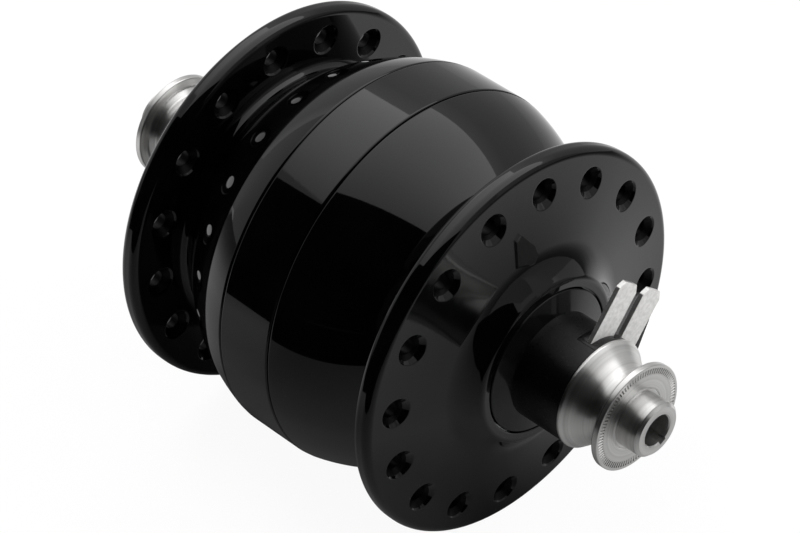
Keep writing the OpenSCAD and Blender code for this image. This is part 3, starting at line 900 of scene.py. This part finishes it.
finishes = {
    "gloss_black": gloss_black(),
    "gloss_black_plastic": gloss_black_plastic(),
    "satin_black": satin_black(),
    "black_rubber": black_rubber(),
    "turned_steel": metal("turned_steel", (0.65, 0.645, 0.635), (0.85, 0.845, 0.835), (0.26, 0.4), 9000,
                          0.0000025, 0.000001, 0.55),
    "tinned_metal": tinned_metal(),
    "bearing_steel": metal("bearing_steel", (0.52, 0.53, 0.54), (0.62, 0.63, 0.64), (0.1, 0.18), 7000,
                           0.0000008, 0.0000004, 0.3),
    "bare_iron": metal("bare_iron", (0.19, 0.19, 0.195), (0.28, 0.28, 0.29), (0.4, 0.6), 3500,
                       0.000004, 0.000006, 0),
    "magnet_grey": metal("magnet_grey", (0.09, 0.09, 0.1), (0.15, 0.15, 0.165), (0.4, 0.6), 2500,
                         0.000002, 0.00001, 0),
    "cage_brass": metal("cage_brass", (0.52, 0.34, 0.11), (0.62, 0.43, 0.16), (0.25, 0.4), 5000,
                        0.000002, 0.000002, 0.3),
    "bobbin_plastic": plain_coat("bobbin_plastic", (0.70, 0.66, 0.56), (0.80, 0.77, 0.68), (0.4, 0.55),
                                 0.000005),
    "enamelled_wire": plain_coat("enamelled_wire", (0.36, 0.11, 0.025), (0.52, 0.18, 0.045), (0.2, 0.35),
                                 0.000003),
    "lead_insulation": plain_coat("lead_insulation", (0.32, 0.03, 0.018), (0.42, 0.045, 0.025), (0.4, 0.55),
                                  0.000004),
}

fine_pieces = {
    "gloss_black": shells,
    "gloss_black_plastic": caps,
    "satin_black": sleeves,
    "turned_steel": steel,
    "enamelled_wire": coil,
}
for slot, pieces in fine_pieces.items():
    for obj in pieces:
        obj.data.materials.clear()
        obj.data.materials.append(finishes[slot])

for subpart in frame["record"]["subparts"]:
    obj = frame["nodes"][subpart["node"]]
    for material_slot in obj.material_slots:
        material_slot.material = finishes[subpart["material_slot"]]


# Studio: a pale floor in a tent of white cloth that is open towards the camera, with a softbox over it.
# Gloss black and steel mirror the tent, and the softbox lights plain surfaces too. Angles run round the
# tent's axis, from the horizon behind the hub up and over it.
TENT_AXIS = Vector((-0.293, 0.956, 0)).normalized()
TENT_SIDE = Vector((0.956, 0.293, 0)).normalized()
UP = Vector((0, 0, 1))
TENT = (TENT_AXIS, TENT_SIDE, UP)
# One wall has its angles round the vertical instead, from -Y to +X.
ROOM = (UP, Vector((0, -1, 0)), Vector((1, 0, 0)))
PANEL_STEPS = 16
FLOOR_Z = -0.0324


def stage_object(name, points, faces, material):
    mesh = bpy.data.meshes.new(name)
    mesh.from_pydata(points, [], faces)
    mesh.materials.append(material)
    obj = bpy.data.objects.new(name, mesh)
    bpy.context.scene.collection.objects.link(obj)
    return obj


def cloth_light():
    """Emission with the strength that each point of the mesh gives."""
    material = bpy.data.materials.new("cloth_light")
    material.use_nodes = True
    tree = material.node_tree
    tree.nodes.clear()
    glow = tree.nodes.new("ShaderNodeAttribute")
    glow.attribute_name = "glow"
    light = tree.nodes.new("ShaderNodeEmission")
    tree.links.new(glow.outputs["Fac"], light.inputs["Strength"])
    output = tree.nodes.new("ShaderNodeOutputMaterial")
    tree.links.new(light.outputs[0], output.inputs["Surface"])
    return material


cloth = cloth_light()


def cloth_sheet(name, rows, lights_plain=False):
    """A sheet through rows of (point, strength), seen by mirrors, and with lights_plain by plain surfaces."""
    columns = len(rows[0])
    points = [point for row in rows for point, strength in row]
    strengths = [strength for row in rows for point, strength in row]
    faces = []
    for j in range(len(rows) - 1):
        for i in range(columns - 1):
            first = j * columns + i
            faces.append((first, first + 1, first + columns + 1, first + columns))
    obj = stage_object(name, points, faces, cloth)
    obj.data.attributes.new("glow", "FLOAT", "POINT").data.foreach_set("value", strengths)
    obj.visible_camera = False
    obj.visible_diffuse = lights_plain
    obj.visible_transmission = False
    obj.visible_volume_scatter = False
    obj.visible_shadow = False


def panel(name, radius, axes, ends, stops, lights_plain=False):
    """Part of a sphere round the hub, between two angles along an axis.

    The stops are (angle round the axis, strength).
    """
    axis, start, quarter = axes
    rows = []
    for angle, strength in stops:
        turn = math.radians(angle)
        across = start * math.cos(turn) + quarter * math.sin(turn)
        row = []
        for i in range(PANEL_STEPS + 1):
            along = math.radians(ends[0] + (ends[1] - ends[0]) * i / PANEL_STEPS)
            row.append(((across * math.cos(along) + axis * math.sin(along)) * radius, strength))
        rows.append(row)
    cloth_sheet(name, rows, lights_plain)


panel("front_right_wall", 1.05, ROOM, (-30, 38), [(5, 0.3), (14, 0.28), (24, 0.26)])
panel("dark_opening", 1.10, TENT, (-90, 55), [(113.5, 0.0), (140, 0.0), (170, 0.0), (200, 0.0)])
panel("softbox", 1.15, TENT, (-42, 42),
      [(46.5, 1.95), (60, 1.75), (80, 1.4), (100, 0.95), (113.5, 0.68)], lights_plain=True)
panel("back_wall", 1.20, TENT, (-48, 72), [(-20, 0.45), (0, 0.45), (20, 0.48), (36, 0.55), (46.5, 0.8)])
panel("left_wall", 1.40, TENT, (30, 90),
      [(-20, 0.4), (20, 0.48), (60, 0.5), (90, 0.45), (120, 0.4), (160, 0.38), (200, 0.37)])
panel("right_wall", 1.40, TENT, (-90, -18),
      [(-20, 0.26), (0, 0.27), (40, 0.34), (60, 0.42), (100, 0.45), (120, 0.4)])

# Light that mirrors see on the floor, with places in metres across and along the tent
DIM_FLOOR_LIGHT = 0.09
RIGHT_POOL = (0.060, -0.085)
RIGHT_POOL_SIZE = 0.058
RIGHT_POOL_LIGHT = 0.82
LEFT_POOL = (0.010, 0.130)
LEFT_POOL_SIZE = 0.08
LEFT_POOL_LIGHT = 0.7
LEFT_POOL_START = 0.03
LEFT_POOL_RISE = 0.06
BEHIND_LIGHT = 0.5
BEHIND_RISE = 0.06
NEAR_BEHIND_LIGHT = 0.45
NEAR_BEHIND_SIZE = 0.15
BESIDE_START = 0.03
BESIDE_SLANT = 0.3
BESIDE_SIZE = 0.06
FOOT_ACROSS = -0.010
FOOT_HALF = 0.024
FOOT_SHADE_REACH = 0.03


def fade(light, away, size):
    """Light that falls off with the distance from where it is brightest."""
    return light / (1 + (away / size) ** 2)


def rise(distance, reach):
    """Goes from 0 to 1 over a reach."""
    return max(0.0, min(1.0, distance / reach))


def floor_light(across, along):
    """Brightness of the floor in mirrors: pools of light at both ends, white behind, shade at the foot."""
    right_away = math.hypot(across - RIGHT_POOL[0], along - RIGHT_POOL[1])
    left_away = math.hypot(across - LEFT_POOL[0], along - LEFT_POOL[1])
    left_share = rise(along - LEFT_POOL_START, LEFT_POOL_RISE)
    pools = DIM_FLOOR_LIGHT + fade(RIGHT_POOL_LIGHT, right_away, RIGHT_POOL_SIZE)
    pools += left_share * fade(LEFT_POOL_LIGHT, left_away, LEFT_POOL_SIZE)
    behind = rise(across, BEHIND_RISE) * (BEHIND_LIGHT + fade(NEAR_BEHIND_LIGHT, across, NEAR_BEHIND_SIZE))
    beside = max(0.0, -along - BESIDE_START - BESIDE_SLANT * max(0.0, across))
    foot = math.hypot(across - FOOT_ACROSS, along - max(-FOOT_HALF, min(FOOT_HALF, along)))
    return max(pools, fade(behind, beside, BESIDE_SIZE)) * rise(foot, FOOT_SHADE_REACH)


def floor_place(across, along, height):
    """Point at a height over the floor."""
    return TENT_SIDE * across + TENT_AXIS * along + UP * (FLOOR_Z + height)


# Places across and along the tent lie closest together under the hub.
FLOOR_REACH = 1.4
FLOOR_STEPS = 24
PAINTED_FLOOR_LIGHT_HEIGHT = 0.00004
spread = [FLOOR_REACH * (i / FLOOR_STEPS) ** 3 for i in range(-FLOOR_STEPS, FLOOR_STEPS + 1)]
floor_rows = []
for across in spread:
    row = [(floor_place(across, along, PAINTED_FLOOR_LIGHT_HEIGHT), floor_light(across, along)) for along in spread]
    floor_rows.append(row)
# The floor as mirrors see it: a glowing sheet with painted pools of light and a painted shadow at the hub's
# foot.
cloth_sheet("painted_floor_light", floor_rows)

# Painted shade: a black sheet that only mirrors see lies on the floor in front of the tent's opening.
PAINTED_SHADE_EDGE = [(-0.121, 0.18), (-0.121, -0.06), (-0.20, -0.135), (-0.158, -0.233), (-0.042, -0.2)]
PAINTED_SHADE_REACH = 8
PAINTED_SHADE_HEIGHT = 0.0001
shade_rows = []
for reach in (1, PAINTED_SHADE_REACH):
    row = []
    for across, along in PAINTED_SHADE_EDGE:
        row.append((floor_place(across * reach, along * reach, PAINTED_SHADE_HEIGHT), 0.0))
    shade_rows.append(row)
cloth_sheet("painted_floor_shade", shade_rows)

# Two lamps bring plain surfaces to a plain level; mirrors don't show them.
LAMPS = {
    "front_lamp": ((0.7, -0.9, 0.75), 11.0),
    "top_lamp": ((-0.1, 0.45, 1.1), 9.0),
}
for name, (place, energy) in LAMPS.items():
    lamp = bpy.data.objects.new(name, bpy.data.lights.new(name, "AREA"))
    lamp.data.size = 0.5
    lamp.data.energy = energy
    lamp.location = place
    lamp.rotation_euler = lamp.location.to_track_quat("Z", "Y").to_euler()
    lamp.visible_glossy = False
    bpy.context.scene.collection.objects.link(lamp)


def mirror_share(tree):
    """1 for rays from the camera, a mirror or glass, which see plain white, and 0 for other rays."""
    path = tree.nodes.new("ShaderNodeLightPath")
    first = tree.nodes.new("ShaderNodeMath")
    first.operation = "MAXIMUM"
    tree.links.new(path.outputs["Is Camera Ray"], first.inputs[0])
    tree.links.new(path.outputs["Is Glossy Ray"], first.inputs[1])
    second = tree.nodes.new("ShaderNodeMath")
    second.operation = "MAXIMUM"
    tree.links.new(first.outputs[0], second.inputs[0])
    tree.links.new(path.outputs["Is Transmission Ray"], second.inputs[1])
    return second.outputs[0]


def white_floor():
    """Pale floor: mostly white to the eye, with enough plain diffuse left to keep the object's shadow."""
    white_share = 0.94
    material = bpy.data.materials.new("floor_white")
    material.use_nodes = True
    tree = material.node_tree
    tree.nodes.clear()
    diffuse = tree.nodes.new("ShaderNodeBsdfDiffuse")
    diffuse.inputs["Color"].default_value = (0.85, 0.85, 0.85, 1)
    glow = tree.nodes.new("ShaderNodeEmission")
    glow.inputs["Strength"].default_value = 1
    seen = tree.nodes.new("ShaderNodeMixShader")
    seen.inputs["Fac"].default_value = white_share
    tree.links.new(diffuse.outputs[0], seen.inputs[1])
    tree.links.new(glow.outputs[0], seen.inputs[2])
    mix = tree.nodes.new("ShaderNodeMixShader")
    tree.links.new(mirror_share(tree), mix.inputs["Fac"])
    tree.links.new(diffuse.outputs[0], mix.inputs[1])
    tree.links.new(seen.outputs[0], mix.inputs[2])
    output = tree.nodes.new("ShaderNodeOutputMaterial")
    tree.links.new(mix.outputs[0], output.inputs["Surface"])
    return material


FLOOR_R = 6
floor_turns = [math.radians(angle) for angle in range(0, 360, 5)]
floor_rim = [(FLOOR_R * math.cos(turn), FLOOR_R * math.sin(turn), FLOOR_Z) for turn in floor_turns]
stage_object("floor", floor_rim, [tuple(range(len(floor_rim)))], white_floor())

world = bpy.data.worlds.new("studio")
bpy.context.scene.world = world
world.use_nodes = True
sky = world.node_tree
sky.nodes.clear()
soft_light = sky.nodes.new("ShaderNodeBackground")
soft_light.inputs["Strength"].default_value = 0.6
white = sky.nodes.new("ShaderNodeBackground")
white.inputs["Color"].default_value = (1, 1, 1, 1)
white.inputs["Strength"].default_value = 1
sky_mix = sky.nodes.new("ShaderNodeMixShader")
sky.links.new(mirror_share(sky), sky_mix.inputs["Fac"])
sky.links.new(soft_light.outputs[0], sky_mix.inputs[1])
sky.links.new(white.outputs[0], sky_mix.inputs[2])
sky_output = sky.nodes.new("ShaderNodeOutputWorld")
sky.links.new(sky_mix.outputs[0], sky_output.inputs["Surface"])

# Camera at the photograph's viewing angle, with its place in millimetres from the hub's middle
CAMERA_AZIMUTH = math.radians(-44.7094)
CAMERA_ELEVATION = math.radians(39.2492)
CAMERA_RIGHT = 0.7862
CAMERA_DOWN = 0.4944
CAMERA_BACK = 531.753
CAMERA_LENS = 156.439
right = Vector((math.cos(CAMERA_AZIMUTH), math.sin(CAMERA_AZIMUTH), 0))
back = Vector((math.sin(CAMERA_AZIMUTH) * math.cos(CAMERA_ELEVATION),
               -math.cos(CAMERA_AZIMUTH) * math.cos(CAMERA_ELEVATION),
               math.sin(CAMERA_ELEVATION)))
up = back.cross(right)
eye = (right * CAMERA_RIGHT - up * CAMERA_DOWN + back * CAMERA_BACK) * MM
camera = bpy.data.objects.new("camera", bpy.data.cameras.new("camera"))
camera.data.sensor_fit = "HORIZONTAL"
camera.data.sensor_width = 36
camera.data.lens = CAMERA_LENS
camera.data.clip_start = 0.01
camera.data.clip_end = 50
camera.matrix_world = Matrix.Translation(eye) @ Matrix((right, up, back)).transposed().to_4x4()
bpy.context.scene.collection.objects.link(camera)
bpy.context.scene.camera = camera
bpy.context.scene.view_settings.view_transform = "Standard"
